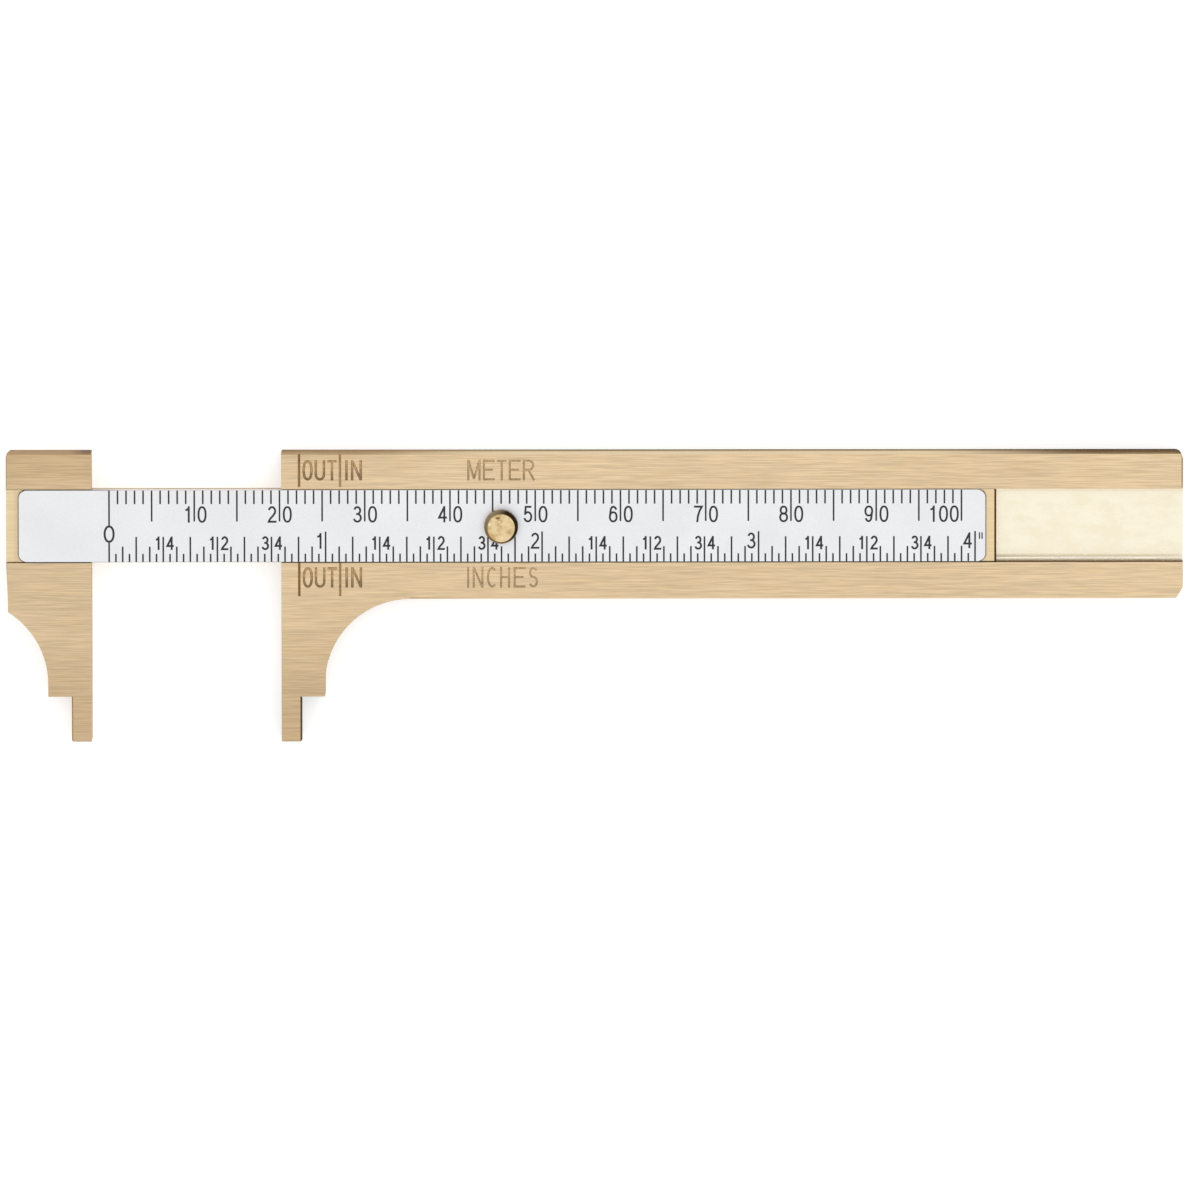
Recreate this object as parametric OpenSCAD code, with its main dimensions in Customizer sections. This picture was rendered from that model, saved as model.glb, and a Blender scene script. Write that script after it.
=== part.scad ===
// Pocket slide caliper: a brass beam with a fixed jaw, and a slide that carries the moving jaw and the scale.
// X runs along the beam from the fixed jaw's measuring face, Y is across it with the jaws at -Y,
// and Z rises from the flat back to the face. Y = 0 is the middle of the slide. Millimetres.

/* [Beam] */
// Travel of the moving jaw from closed to the stop pin, which is the widest opening
travel_len = 101.6; // [60:0.1:150]
// Length of slide that stays in the beam at the widest opening
held_len = 4.2; // [4:0.1:12]
// Width of the beam across its face
beam_w = 17.2; // [14:0.1:26]
// Thickness of the beam, back to face
beam_t = 4.8; // [4.4:0.1:8]
// Chamfer along the beam's outer edges
edge_break = 0.2; // [0.05:0.05:0.4]
// Radius of the top corner at the plain end
end_radius = 0.9; // [0.3:0.1:2]
// Bevel of the bottom corner at the plain end, along the beam
end_bevel_x = 0.8; // [0.3:0.1:2]
// Bevel of the bottom corner at the plain end, across the beam
end_bevel_y = 1.3; // [0.3:0.1:2.5]

/* [Channel] */
// Brass left under the channel
floor_t = 1.5; // [1.3:0.05:2]
// Width of each guide rib, out of the channel's wall
rib_w = 0.45; // [0.2:0.05:0.7]
// Height of each guide rib
rib_h = 0.6; // [0.4:0.05:0.8]
// Height of the guide ribs above the channel's floor
rib_rise = 0.9; // [0.8:0.05:1.2]
// Gap on each side of the slide, in the channel and in the moving jaw
side_gap = 0.08; // [0.02:0.01:0.1]
// Running gap under the slide and above and below each rib
rise_gap = 0.06; // [0.02:0.01:0.1]

/* [Jaws] */
// Opening between the jaws as drawn
opening = 22.3; // [0:0.1:50]
// Reach of the jaws from the middle of the slide to their tips
jaw_reach = 25.4; // [22:0.1:40]
// Width of each jaw where its hollow curve ends
jaw_root = 5.1; // [3.5:0.1:8]
// Radius of the hollow curve from the beam into the jaw
jaw_arc = 10; // [6:0.1:10.5]
// Width of each nib; both together fit the smallest hole
nib_w = 2.4; // [1.5:0.1:3.2]
// Length of each nib
nib_len = 5.3; // [3:0.1:6]
// Bulge of each nib's outer side, which is rounded so that it touches a hole in one line
nib_crown = 0.2; // [0.05:0.05:0.4]
// Length of the moving jaw's block along the slide
head_w = 10; // [8:0.1:16]
// Bevel of the moving jaw's outer top corner
head_bevel = 0.4; // [0.2:0.1:1.5]
// Taper of the moving jaw's outer end, below the slide
head_taper_w = 0.2; // [0.1:0.05:0.5]

/* [Slide] */
// Width of the slide bar
bar_w = 8.5; // [7:0.1:10]
// Length of the slide bar past the beam's plain end when the jaws are closed
bar_past = 0.4; // [0:0.1:2]
// Chamfer on the slide bar's free end
bar_break = 0.12; // [0.05:0.01:0.3]
// Diameter of the rivets through the moving jaw
rivet_d = 1.8; // [1.2:0.1:2.4]
// Distance of the rivets from the two ends of the moving jaw
rivet_inset = 2.8; // [2:0.1:3.5]

/* [Scale plate] */
// Thickness of the scale plate
plate_t = 0.5; // [0.3:0.05:0.8]
// Thickness of the adhesive film under the scale plate
film_t = 0.05; // [0.03:0.01:0.1]
// Setback of the adhesive film from the scale plate's edges
film_inset = 0.15; // [0.05:0.05:0.4]
// Depth of the scale plate's face below the beam's face
plate_sunk = 0.05; // [0.02:0.01:0.2]
// Slide bar that shows past the scale plate at the jaw's end
plate_gap_jaw = 1.4; // [0.5:0.1:3]
// Slide bar that shows past the scale plate at the free end
plate_gap_end = 1.2; // [0.4:0.1:3]
// Radius of the scale plate's corners
plate_radius = 0.95; // [0.3:0.05:1.5]

/* [Graduations] */
// Distance of the zero line and the outside index line from their jaws
zero_at = 2.1; // [1:0.1:4]
// Width of an etched line
line_w = 0.2; // [0.1:0.01:0.25]
// Depth of an etched line
line_depth = 0.04; // [0.02:0.01:0.1]
// Distance of the etched lines from the scale plate's long edges
line_margin = 0.05; // [0.05:0.01:0.3]
// Height of the zero numeral's top above the middle of the slide
zero_top = 0.1; // [0:0.05:0.5]
// Height of the gap that the zero line leaves for its numeral
zero_h = 2.05; // [1.5:0.05:2.5]
// Length of a millimetre line
mm_line = 1.6; // [1:0.05:2]
// Length of a five or ten millimetre line
cm_line = 3.65; // [2:0.05:4]
// Length of a thirty-second inch line
thirty_second_line = 0.95; // [0.5:0.05:1.2]
// Length of a sixteenth inch line
sixteenth_line = 1.8; // [1.2:0.05:2]
// Length of an eighth, quarter or half inch line
eighth_line = 2.95; // [2:0.05:3.2]
// Length of a whole inch line
inch_line = 3.55; // [2.5:0.05:3.8]
// Length of each index line beside the channel
index_len = 4; // [2:0.05:4.1]
// Width of an index line
index_w = 0.3; // [0.15:0.05:0.5]
// Depth of an index line
index_depth = 0.15; // [0.05:0.01:0.3]

/* [Button] */
// Reading on the metric scale at which the thumb button stands
button_at = 46; // [30:1:60]
// Diameter of the thumb button
button_d = 4; // [3:0.1:6]
// Height of the thumb button above the scale plate
button_h = 1.7; // [1:0.1:4]
// Chamfer of the thumb button
button_break = 0.33; // [0.1:0.01:0.5]
// Diameter of the thumb button's shank
shank_d = 1.7; // [1.2:0.1:1.8]

/* [Stop and spring] */
// Distance of the stop pin from the fixed jaw's measuring face
pin_at = 1.8; // [1.6:0.1:1.9]
// Diameter of the stop pin
pin_d = 1.4; // [1:0.1:1.6]
// Reach of the stop pin into the slide's groove
pin_reach = 0.55; // [0.4:0.05:0.6]
// Gap between the stop pin and the walls of the slide's groove
pin_gap = 0.15; // [0.05:0.01:0.2]
// Play left at the stop pin at the widest opening
stop_play = 0.05; // [0.02:0.01:0.1]
// Distance of the drag spring's crest from the fixed jaw's measuring face
crest_at = 4; // [3.9:0.05:4.1]
// Length of the drag spring's tip past its crest
tip_len = 0.8; // [0.6:0.05:0.9]
// Fall of the drag spring's tip below its crest
tip_drop = 0.12; // [0.05:0.01:0.2]
// Length of the drag spring
spring_len = 15; // [12:0.5:20]
// Width of the drag spring
spring_w = 3.6; // [3:0.1:4.5]
// Thickness of the drag spring
spring_t = 0.2; // [0.1:0.01:0.25]
// Gap between the drag spring's crest and the slide bar
crest_gap = 0.03; // [0.01:0.01:0.05]
// Depth of the drag spring's pocket
pocket_depth = 0.75; // [0.6:0.01:0.8]
// Gap around the drag spring in its pocket
pocket_gap = 0.3; // [0.1:0.05:0.5]
// Diameter of the spring rivet's shank
spring_rivet_d = 1.2; // [0.8:0.1:1.5]
// Diameter of the spring rivet's head
spring_rivet_head = 2.4; // [1.8:0.1:2.8]
// Height of the spring rivet's head
spring_rivet_rise = 0.3; // [0.2:0.01:0.35]

/* [Hidden] */
$fn = 64;
over = 1;
inch = 25.4;
beam_len = travel_len + held_len;
face_x = -opening;
head_x = face_x - head_w;
bar_z = floor_t + rise_gap;
bar_top = beam_t - plate_sunk - plate_t - film_t;
plate_z = bar_top + film_t;
plate_top = plate_z + plate_t;
bar_len = head_w + beam_len + bar_past;
plate_x = head_x + plate_gap_jaw;
plate_len = bar_len - plate_gap_jaw - plate_gap_end;
zero_x = face_x + zero_at;
button_x = zero_x + button_at;
rib_z = floor_t + rib_rise;
hollow_y = -beam_w / 2 - jaw_arc;
step_y = nib_len - jaw_reach;
crown_r = (pow(beam_t / 2, 2) + pow(nib_crown, 2)) / (2 * nib_crown);
groove_w = pin_d + 2 * pin_gap;
groove_z = floor_t + pin_reach + pin_gap;
groove_x = face_x + pin_at - pin_d / 2 - pin_gap;
groove_end = face_x + pin_at + travel_len + pin_d / 2 + stop_play;
spring_x = crest_at - tip_len;
pocket_z = floor_t - pocket_depth;
spring_end = spring_x + spring_len;
spring_rivet_x = spring_end - spring_w / 2;
bend_x = spring_rivet_x - spring_rivet_head / 2 - pocket_gap;
crest_z = bar_z - crest_gap - spring_t;
spring_steps = 12;
scale_len = plate_x + plate_len - zero_x;
metric_max = 10 * floor(scale_len / 10);
inch_parts = 32;
inch_max = inch_parts * floor(scale_len / inch);
line_edge = bar_w / 2 - line_margin;

// Sweeps a Y-Z section along X from x by len.
module along_x(x, len) {
    translate([x, 0, 0])
        rotate([90, 0, 90])
            linear_extrude(len)
                children();
}

// The space that the slide bar takes in the beam or in the moving jaw, open at the face.
module slot_section(side, rise) {
    difference() {
        translate([-bar_w / 2 - side, bar_z - rise])
            square([bar_w + 2 * side, beam_t]);
        for (way = [0, 1])
            mirror([way, 0])
                translate([bar_w / 2 + side - rib_w, rib_z - rise_gap + rise])
                    square([rib_w + over, rib_h + 2 * rise_gap - 2 * rise]);
    }
}

// The jaw below the slide with its measuring face at X = 0 and its back towards +X.
module jaw_shape() {
    difference() {
        translate([0, step_y])
            square([jaw_root + jaw_arc, -step_y]);
        translate([jaw_root + jaw_arc, hollow_y])
            circle(jaw_arc, $fn = 128);
        translate([jaw_root, step_y - over])
            square([jaw_arc + over, hollow_y - step_y + over]);
    }
    translate([0, -jaw_reach])
        square([nib_w, jaw_reach]);
}

// What the rounding of the nib's outer side takes off the jaw, which stands as in jaw_shape.
module nib_cut() {
    translate([nib_w, step_y, beam_t / 2])
        rotate([90, 0, 0])
            linear_extrude(nib_len + over)
                difference() {
                    translate([-nib_crown, -beam_t])
                        square([nib_crown + over, 2 * beam_t]);
                    translate([-crown_r, 0])
                        circle(crown_r, $fn = 256);
                }
}

// What a round corner of radius r takes off a square one at the origin.
module corner_cut(r) {
    difference() {
        translate([-r, -r])
            square(r + over);
        translate([-r, -r])
            circle(r);
        translate([-r - over, -r - over])
            square([over, 2 * over + r]);
    }
}

// The section of what a chamfer takes off an edge at the origin, with the solid at -X and -Y of it.
module chamfer_section(size) {
    polygon([[-size - over, over], [over, -size - over], [over, over]]);
}

// A chamfer along X on the outer edge at y and z, where z is the back or the face.
module edge_cut(x, len, y, z, size) {
    along_x(x, len)
        translate([y, z])
            mirror([y < 0 ? 1 : 0, 0])
                mirror([0, z > 0 ? 0 : 1])
                    chamfer_section(size);
}

// A chamfer along Y on the edge at x and z, with the solid on the side that way tells: 0 for -X, 1 for +X.
module end_cut(x, way, z, size) {
    translate([0, beam_w, 0])
        rotate([90, 0, 0])
            linear_extrude(2 * beam_w)
                translate([x, z])
                    mirror([way, 0])
                        mirror([0, z > 0 ? 0 : 1])
                            chamfer_section(size);
}

// One V-shaped index line that runs down from y.
module index_cut(x, y) {
    translate([x, y, beam_t])
        rotate([90, 0, 0])
            linear_extrude(index_len)
                polygon([[-index_w / 2, 0], [-index_w / 2, over], [index_w / 2, over], [index_w / 2, 0],
                    [0, -index_depth]]);
}

module beam_outline() {
    difference() {
        translate([0, -beam_w / 2])
            square([beam_len, beam_w]);
        translate([beam_len, beam_w / 2])
            corner_cut(end_radius);
        translate([beam_len, -beam_w / 2])
            polygon([[-end_bevel_x, 0], [-end_bevel_x, -over], [over, -over], [over, end_bevel_y],
                [0, end_bevel_y]]);
    }
    jaw_shape();
}

module spring_pocket() {
    translate([spring_x - pocket_gap, -spring_w / 2 - pocket_gap, pocket_z])
        cube([spring_len + 2 * pocket_gap, spring_w + 2 * pocket_gap, beam_t]);
}

module beam() {
    color([0.80, 0.68, 0.47])
        difference() {
            linear_extrude(beam_t)
                beam_outline();
            along_x(-over, beam_len + 2 * over)
                slot_section(side_gap, rise_gap);
            nib_cut();
            spring_pocket();
            translate([pin_at, 0, -over])
                cylinder(d = pin_d, h = beam_t);
            translate([spring_rivet_x, 0, -over])
                cylinder(d = spring_rivet_d, h = beam_t);
            for (z = [0, beam_t]) {
                edge_cut(-over, beam_len + 2 * over, beam_w / 2, z, edge_break);
                edge_cut(jaw_root + jaw_arc, beam_len, -beam_w / 2, z, edge_break);
                end_cut(beam_len, 0, z, edge_break);
            }
            for (x = [zero_at, zero_at + 2 * nib_w]) {
                index_cut(x, beam_w / 2);
                index_cut(x, -bar_w / 2);
            }
        }
}

module head_outline() {
    difference() {
        translate([face_x, 0])
            mirror([1, 0])
                union() {
                    jaw_shape();
                    translate([0, -beam_w / 2])
                        square([head_w, beam_w]);
                }
        translate([head_x - jaw_arc - jaw_root, -jaw_reach])
            square([jaw_arc + jaw_root, 2 * jaw_reach]);
        translate([head_x, beam_w / 2])
            polygon([[-over, over], [-over, -head_bevel], [0, -head_bevel], [head_bevel, 0],
                [head_bevel, over]]);
        translate([head_x, -bar_w / 2])
            polygon([[0, 0], [-over, 0], [-over, hollow_y], [head_taper_w, hollow_y],
                [head_taper_w, bar_w / 2 - beam_w / 2]]);
    }
}

module moving_jaw() {
    color([0.80, 0.68, 0.47])
        difference() {
            linear_extrude(beam_t)
                head_outline();
            along_x(head_x - over, head_w + 2 * over)
                slot_section(side_gap, 0);
            translate([face_x, 0, 0])
                mirror([1, 0, 0])
                    nib_cut();
            rivet_holes(-over);
            for (z = [0, beam_t]) {
                edge_cut(head_x - over, head_w + 2 * over, beam_w / 2, z, edge_break);
                end_cut(head_x, 1, z, edge_break / 2);
            }
        }
}

module rivet_holes(z) {
    for (x = [head_x + rivet_inset, face_x - rivet_inset])
        translate([x, 0, z])
            cylinder(d = rivet_d, h = bar_top - z);
}

module stop_groove() {
    translate([groove_x + groove_w / 2, -groove_w / 2, 0])
        cube([groove_end - groove_x - groove_w, groove_w, groove_z]);
    for (x = [groove_x + groove_w / 2, groove_end - groove_w / 2])
        translate([x, 0, 0])
            cylinder(d = groove_w, h = groove_z);
}

module slide_bar() {
    color([0.84, 0.72, 0.50])
        difference() {
            intersection() {
                along_x(head_x, bar_len)
                    slot_section(0, 0);
                translate([head_x - over, -bar_w, 0])
                    cube([bar_len + 2 * over, 2 * bar_w, bar_top]);
            }
            stop_groove();
            rivet_holes(0);
            translate([button_x, 0, 0])
                cylinder(d = shank_d, h = beam_t);
            end_cut(head_x + bar_len, 0, bar_top, bar_break);
        }
}

module jaw_rivets() {
    color([0.76, 0.62, 0.38])
        rivet_holes(0);
}

module plate_outline() {
    difference() {
        translate([plate_x, -bar_w / 2])
            square([plate_len, bar_w]);
        for (end = [0, 1])
            for (way = [0, 1])
                translate([plate_x + end * plate_len, 0])
                    mirror([1 - end, 0])
                        mirror([0, way])
                            translate([0, bar_w / 2])
                                corner_cut(plate_radius);
    }
}

// One etched line that runs from the plate's edge towards its middle, way = 1 at the top edge.
module etched_line(at, len, way) {
    translate([zero_x + at - line_w / 2, way > 0 ? line_edge - len : -line_edge, plate_top - line_depth])
        cube([line_w, len, line_depth + over]);
}

module scale_lines() {
    etched_line(0, line_edge - zero_top, 1);
    etched_line(0, line_edge + zero_top - zero_h, -1);
    for (mm = [1 : metric_max])
        etched_line(mm, mm % 5 == 0 ? cm_line : mm_line, 1);
    for (part = [1 : inch_max])
        etched_line(part * inch / inch_parts, part % 32 == 0 ? inch_line : part % 4 == 0 ? eighth_line
            : part % 2 == 0 ? sixteenth_line : thirty_second_line, -1);
}

module scale_plate() {
    color([0.90, 0.91, 0.92])
        difference() {
            translate([0, 0, plate_z])
                linear_extrude(plate_t)
                    plate_outline();
            scale_lines();
            translate([button_x, 0, 0])
                cylinder(d = shank_d, h = beam_t + over);
        }
}

module plate_adhesive() {
    color([0.55, 0.52, 0.45])
        difference() {
            translate([plate_x + film_inset, -bar_w / 2 + film_inset, bar_top])
                cube([plate_len - 2 * film_inset, bar_w - 2 * film_inset, film_t]);
            translate([button_x, 0, 0])
                cylinder(d = shank_d, h = beam_t);
            for (x = [plate_x + film_inset, plate_x + plate_len - film_inset])
                for (y = [-bar_w / 2 + film_inset, bar_w / 2 - film_inset])
                    translate([x, y, bar_top])
                        rotate([0, 0, 45])
                            cube([plate_radius, plate_radius, beam_t], center = true);
        }
}

module thumb_button() {
    color([0.86, 0.73, 0.48])
        translate([button_x, 0, 0])
            rotate_extrude()
                polygon([[0, groove_z], [shank_d / 2, groove_z], [shank_d / 2, plate_top],
                    [button_d / 2, plate_top], [button_d / 2, plate_top + button_h - button_break],
                    [button_d / 2 - button_break, plate_top + button_h], [0, plate_top + button_h]]);
}

module stop_pin() {
    color([0.62, 0.63, 0.65])
        translate([pin_at, 0, 0])
            cylinder(d = pin_d, h = floor_t + pin_reach);
}

// Height of the drag spring's underside: flat at its rivet, then rising to the crest and dipping at the tip.
function spring_z(x) =
    let (part = (bend_x - x) / (bend_x - crest_at))
    x > bend_x ? pocket_z
    : x > crest_at ? pocket_z + (crest_z - pocket_z) * part * part * (3 - part) / 2
    : crest_z - tip_drop * pow((crest_at - x) / tip_len, 2);

module drag_spring() {
    xs = [for (i = [0 : spring_steps]) spring_x + (bend_x - spring_x) * i / spring_steps];
    color([0.72, 0.50, 0.30])
        difference() {
            translate([0, spring_w / 2, 0])
                rotate([90, 0, 0])
                    linear_extrude(spring_w)
                        polygon(concat(
                            [for (x = xs) [x, spring_z(x)]],
                            [[spring_end, pocket_z], [spring_end, pocket_z + spring_t]],
                            [for (i = [spring_steps : -1 : 0]) [xs[i], spring_z(xs[i]) + spring_t]]));
            translate([spring_rivet_x, 0, 0])
                cylinder(d = spring_rivet_d, h = beam_t);
        }
}

module spring_rivet() {
    color([0.76, 0.62, 0.38])
        translate([spring_rivet_x, 0, 0])
            rotate_extrude()
                polygon([[0, 0], [spring_rivet_d / 2, 0], [spring_rivet_d / 2, pocket_z + spring_t],
                    [spring_rivet_head / 2, pocket_z + spring_t],
                    [spring_rivet_head / 2, pocket_z + spring_t + spring_rivet_rise / 2],
                    [spring_rivet_head / 3, pocket_z + spring_t + spring_rivet_rise],
                    [0, pocket_z + spring_t + spring_rivet_rise]]);
}

beam();
moving_jaw();
slide_bar();
jaw_rivets();
scale_plate();
plate_adhesive();
thumb_button();
stop_pin();
drag_spring();
spring_rivet();
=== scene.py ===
"""Looks of the brass pocket caliper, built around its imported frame. New pieces are drawn in millimetres."""
import math

import bmesh
import bpy
from mathutils import Matrix, Vector, noise


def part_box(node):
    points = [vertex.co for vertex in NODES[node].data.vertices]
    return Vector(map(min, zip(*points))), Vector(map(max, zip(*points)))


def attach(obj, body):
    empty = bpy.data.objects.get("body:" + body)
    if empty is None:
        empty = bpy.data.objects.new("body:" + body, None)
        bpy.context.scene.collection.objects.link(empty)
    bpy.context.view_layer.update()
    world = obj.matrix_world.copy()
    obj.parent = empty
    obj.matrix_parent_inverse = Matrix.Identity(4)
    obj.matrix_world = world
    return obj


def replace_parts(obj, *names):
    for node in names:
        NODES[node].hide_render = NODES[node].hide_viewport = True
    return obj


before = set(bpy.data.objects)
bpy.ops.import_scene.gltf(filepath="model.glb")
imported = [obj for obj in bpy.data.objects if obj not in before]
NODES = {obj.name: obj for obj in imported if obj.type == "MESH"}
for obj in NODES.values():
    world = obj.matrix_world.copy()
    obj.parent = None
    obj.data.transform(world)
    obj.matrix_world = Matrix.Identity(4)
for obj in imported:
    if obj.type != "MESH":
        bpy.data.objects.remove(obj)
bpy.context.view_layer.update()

MM = 0.001


def corners(node):
    """A node's lowest and highest corners in millimetres."""
    low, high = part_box(node)
    return low / MM, high / MM


# Places that the frame gives.
FACE_Z = corners("beam")[1].z
BAR_HALF = corners("slide_bar")[1].y
PLATE_LOW, PLATE_HIGH = corners("scale_plate")
BUTTON_LOW, BUTTON_HIGH = corners("thumb_button")
JAW_X = corners("moving_jaw")[1].x
BAR_END = corners("slide_bar")[1].x
POCKET_Z = corners("drag_spring")[0].z

# Slack for comparing places, and how far up a normal points on a flat face.
TINY = 0.001
FLAT = 0.999

# The camera: a long lens above the face, leaning a little towards the beam's back edge.
SENSOR = 36
DISTANCE = 2400
FRAME_WIDTH = 139.3
AIM = (36.625, -7.975, FACE_Z)
LEAN = math.radians(5.5)
ROLL = math.radians(-0.06)

# Graduations and numerals of the scale plate.
ZERO_X = JAW_X + 2.1
INCH = 25.4
INCH_PARTS = 32
METRIC_MAX = 100
INCH_MAX = 4
LINE_W = 0.2
LINE_DEPTH = 0.04
LINE_EDGE = PLATE_HIGH.y - 0.05
LINE_CLEAR = 0.003
MM_LINE = 1.6
CM_LINE = 3.65
INCH_LINES = {32: 3.55, 4: 2.95, 2: 1.8, 1: 0.95}
ZERO_TOP = 0.1
ZERO_H = 2.05
ZERO_W = 1.3
ZERO_STROKE = 0.25
INK_BELOW = 0.008
INK_ABOVE = 0.006
NUMERAL_STROKE = 0.235
INCH_MARK_STROKE = 0.155
INCH_MARK_GAP = 0.44
METRIC_H = 1.96
METRIC_Y = 0.4
METRIC_GAPS = (0.34, 0.38)
NARROW_GAP = 0.53
HUNDRED_GAP = 0.31
HUNDRED_ONE = 2.82
ZEROS_GAP = 0.2
WHOLE_H = 1.9
WHOLE_Y = -2.7
WHOLE_GAPS = {1: 0.48, 2: 0.3, 3: 0.35, 4: 0.35}
QUARTER_H = 1.65
QUARTER_Y = -2.83
QUARTER_GAPS = ({"1": 0.43, "3": 0.28}, {"2": 0.42, "4": 0.36})

# Index lines and words that are cut into the brass beside the channel.
INDEX_AT = (2.1, 6.9)
INDEX_W = 0.3
INDEX_DEPTH = 0.15
WORD_H = 2.42
BOLD_STROKE = 0.29
BOLD_DEPTH = 0.1
FAINT_STROKE = 0.24
FAINT_DEPTH = 0.07
UPPER_WORDS_Y = 5.37
LOWER_WORDS_Y = -7.26
BOLD_WORDS = {"OUT": (2.5, 6.53), "IN": (7.52, 9.48)}
FAINT_WORDS = {"METER": (21.84, 29.73, UPPER_WORDS_Y), "INCHES": (21.8, 30.1, LOWER_WORDS_Y)}

# Finish of edges.
EDGE_ROUND = 0.03
CREASE = math.radians(25)
PLATE_ROUND = 0.045
PLATE_RADIUS = 0.95

# The floor, half its width and how far it lies below the back.
FLOOR_HALF = 6000
FLOOR_DROP = 0.02


def arc(cx, cy, rx, ry, start, end, steps=12):
    """Points along an ellipse from start to end, in degrees."""
    angles = [math.radians(start + (end - start) * i / steps) for i in range(steps + 1)]
    return [(cx + rx * math.cos(a), cy + ry * math.sin(a)) for a in angles]


def oval(cx, cy, rx, ry, power=2.3):
    """A closed superellipse; a power above 2 fills its shoulders."""
    points = []
    steps = 40
    for i in range(steps):
        a = 2 * math.pi * i / steps
        x = math.copysign(abs(math.cos(a)) ** (2 / power), math.cos(a))
        y = math.copysign(abs(math.sin(a)) ** (2 / power), math.sin(a))
        points.append((cx + rx * x, cy + ry * y))
    return points + points[:1]


SIX = [oval(0.24, 0.31, 0.23, 0.31, 2.2),
       arc(0.255, 0.69, 0.2, 0.31, 20, 150) + [(0.045, 0.6), (0.026, 0.36)]]

# How far a glyph's free stroke ends reach out, so that they are as high as its round strokes.
END = 0.06

# Each glyph is its width and the middle lines of its strokes, as shares of its height.
GLYPHS = {
    "0": (0.48, [oval(0.24, 0.5, 0.24, 0.5)]),
    "1": (0.21, [arc(-0.02, 1.0, 0.23, 0.2, -90, -15, 6), [(0.21, 1 + END), (0.21, -END)]]),
    "2": (0.47, [arc(0.225, 0.72, 0.215, 0.28, 165, -25)
                 + [(0.3, 0.42), (0.08, 0.17), (0.0, 0.0), (0.47 + END, 0.0)]]),
    "3": (0.47, [arc(0.23, 0.76, 0.195, 0.24, 165, -90),
                 [(0.15, 0.52)] + arc(0.23, 0.26, 0.24, 0.26, 90, -165)]),
    "4": (0.48, [[(0.36, -END), (0.36, 1 + END)], [(0.35, 0.98), (0.0, 0.27), (0.48 + END, 0.27)]]),
    "5": (0.47, [[(0.42 + END, 1.0), (0.09, 1.0), (0.04, 0.45)], arc(0.23, 0.32, 0.24, 0.32, 145, -165)]),
    "6": (0.47, SIX),
    "7": (0.47, [[(-END, 1.0), (0.47, 1.0), (0.32, 0.72), (0.21, 0.38), (0.155, -END)]]),
    "8": (0.47, [oval(0.235, 0.755, 0.2, 0.245, 2.1), oval(0.235, 0.268, 0.235, 0.268, 2.1)]),
    "9": (0.47, [[(0.47 - x, 1 - y) for x, y in stroke] for stroke in SIX]),
    "C": (0.41, [arc(0.23, 0.5, 0.23, 0.5, 50, 310, 18)]),
    "E": (0.52, [[(0.52 + END, 1.0), (0.0, 1.0), (0.0, 0.0), (0.52 + END, 0.0)],
                 [(0.0, 0.52), (0.42 + END, 0.52)]]),
    "H": (0.43, [[(0.0, -END), (0.0, 1 + END)], [(0.43, -END), (0.43, 1 + END)],
                 [(0.0, 0.52), (0.43, 0.52)]]),
    "I": (0.0, [[(0.0, -END), (0.0, 1 + END)]]),
    "M": (0.6, [[(0.0, -END), (0.0, 1 + END)], [(0.02, 1.0), (0.3, 0.03)], [(0.58, 1.0), (0.3, 0.03)],
                [(0.6, -END), (0.6, 1 + END)]]),
    "N": (0.47, [[(0.0, -END), (0.0, 1 + END)], [(0.02, 1.0), (0.45, 0.0)],
                 [(0.47, -END), (0.47, 1 + END)]]),
    "O": (0.43, [oval(0.215, 0.5, 0.215, 0.5)]),
    "R": (0.52, [[(0.0, -END), (0.0, 1 + END)],
                 [(0.02, 1.0)] + arc(0.26, 0.76, 0.24, 0.24, 90, -90, 10) + [(0.02, 0.52)],
                 [(0.24, 0.52), (0.55, -END)]]),
    "S": (0.38, [arc(0.19, 0.755, 0.175, 0.245, 25, 250) + arc(0.19, 0.26, 0.19, 0.26, 75, -155)]),
    "T": (0.4, [[(-END, 1.0), (0.4 + END, 1.0)], [(0.2, 1.0), (0.2, -END)]]),
    "U": (0.45, [[(0.0, 1 + END)] + arc(0.225, 0.27, 0.225, 0.27, 180, 360, 14)
                 + [(0.45, 1 + END)]]),
    '"': (0.175, [[(0.0, 1.04), (0.0, 0.6)], [(0.175, 1.04), (0.175, 0.6)]]),
}


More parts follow.
